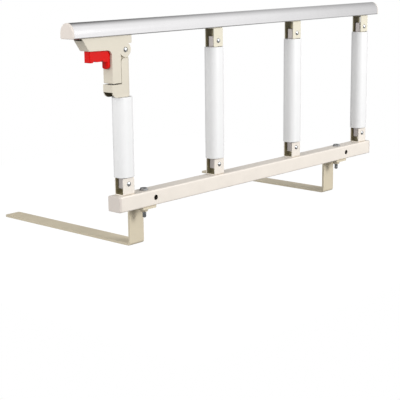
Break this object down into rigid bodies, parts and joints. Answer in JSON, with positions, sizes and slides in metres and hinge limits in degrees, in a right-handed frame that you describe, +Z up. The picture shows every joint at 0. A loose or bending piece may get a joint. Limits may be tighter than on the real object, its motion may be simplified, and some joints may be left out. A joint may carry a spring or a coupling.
{
  "type": "bed guard rail",
  "caption": "Folding bed guard rail: padded posts hinged between a base tube and a handrail, a squeeze latch and bent arms for under a mattress.",
  "frame": {"origin": "middle of the part's box, on the surface that the two arms rest on", "axes": "+X along the handrail, away from the latch; +Y from the rail towards the arms' far ends, under the mattress; +Z up"},
  "size_m": [0.95, 0.4258, 0.4365],
  "materials": {
    "ivory_paint": "satin powder coat",
    "casting_paint": "satin powder coat",
    "arm_paint": "satin powder coat",
    "cream_paint": "satin powder coat",
    "ivory_plastic": "matt",
    "white_plastic": "semi-gloss",
    "red_plastic": "semi-gloss",
    "satin_aluminium": "anodised satin",
    "mill_aluminium": "as extruded",
    "bright_steel": "zinc plated",
    "spring_steel": "plain wire"
  },
  "bodies": {
    "base": {"base_tube": "ivory_paint", "base_cap_left": "ivory_plastic", "base_cap_right": "ivory_plastic", "support_arm_left": "arm_paint", "arm_bolt_left": "bright_steel", "arm_nut_left": "arm_paint", "support_arm_right": "arm_paint", "arm_bolt_right": "bright_steel", "arm_nut_right": "arm_paint", "foot_bracket_1": "ivory_paint", "foot_rivet_1": "bright_steel", "foot_bracket_2": "ivory_paint", "foot_rivet_2": "bright_steel", "foot_bracket_3": "ivory_paint", "foot_rivet_3": "bright_steel", "foot_bracket_4": "ivory_paint", "foot_rivet_4": "bright_steel"},
    "post_1": {"post_core_1": "mill_aluminium", "post_sleeve_1": "white_plastic", "post_head": "casting_paint", "strike_plate": "bright_steel"},
    "post_2": {"post_core_2": "mill_aluminium", "post_sleeve_2": "white_plastic"},
    "post_3": {"post_core_3": "mill_aluminium", "post_sleeve_3": "white_plastic"},
    "post_4": {"post_core_4": "mill_aluminium", "post_sleeve_4": "white_plastic"},
    "handrail": {"handrail": "satin_aluminium", "handrail_cap_left": "ivory_plastic", "handrail_cap_right": "ivory_plastic", "top_bracket_2": "cream_paint", "top_rivet_2": "bright_steel", "bracket_screw_2": "bright_steel", "top_bracket_3": "cream_paint", "top_rivet_3": "bright_steel", "bracket_screw_3": "bright_steel", "top_bracket_4": "cream_paint", "top_rivet_4": "bright_steel", "bracket_screw_4": "bright_steel", "latch_housing": "casting_paint", "latch_rivet": "bright_steel", "housing_screw_left": "bright_steel", "housing_screw_right": "bright_steel", "trigger_spring": "spring_steel"},
    "trigger": {"trigger": "red_plastic", "lock_bolt": "bright_steel"}
  },
  "joints": [
    {"name": "fold_1", "type": "hinge", "parent": "base", "child": "post_1", "pos_m": [-0.3455, -0.19612, 0.1325], "axis": [0, -1, 0], "range_deg": [0, 83]},
    {"name": "fold_2", "type": "hinge", "parent": "base", "child": "post_2", "pos_m": [-0.0885, -0.19612, 0.1325], "axis": [0, -1, 0], "range_deg": [0, 83]},
    {"name": "fold_3", "type": "hinge", "parent": "base", "child": "post_3", "pos_m": [0.1685, -0.19612, 0.1325], "axis": [0, -1, 0], "range_deg": [0, 83]},
    {"name": "fold_4", "type": "hinge", "parent": "base", "child": "post_4", "pos_m": [0.4255, -0.19612, 0.1325], "axis": [0, -1, 0], "range_deg": [0, 83]},
    {"name": "rail_pivot", "type": "hinge", "parent": "post_1", "child": "handrail", "pos_m": [-0.3455, -0.19612, 0.3825], "axis": [0, -1, 0], "range_deg": [-83, 0]},
    {"name": "squeeze", "type": "slide", "parent": "handrail", "child": "trigger", "axis": [0, 0, 1], "range_m": [0, 0.006], "stiffness_N_per_m": 500, "springref_m": -0.004, "deforming": ["trigger_spring"]}
  ],
  "couplings": [
    {"joint": "fold_2", "follows": "fold_1", "ratio": 1},
    {"joint": "fold_3", "follows": "fold_1", "ratio": 1},
    {"joint": "fold_4", "follows": "fold_1", "ratio": 1},
    {"joint": "rail_pivot", "follows": "fold_1", "ratio": -1}
  ]
}
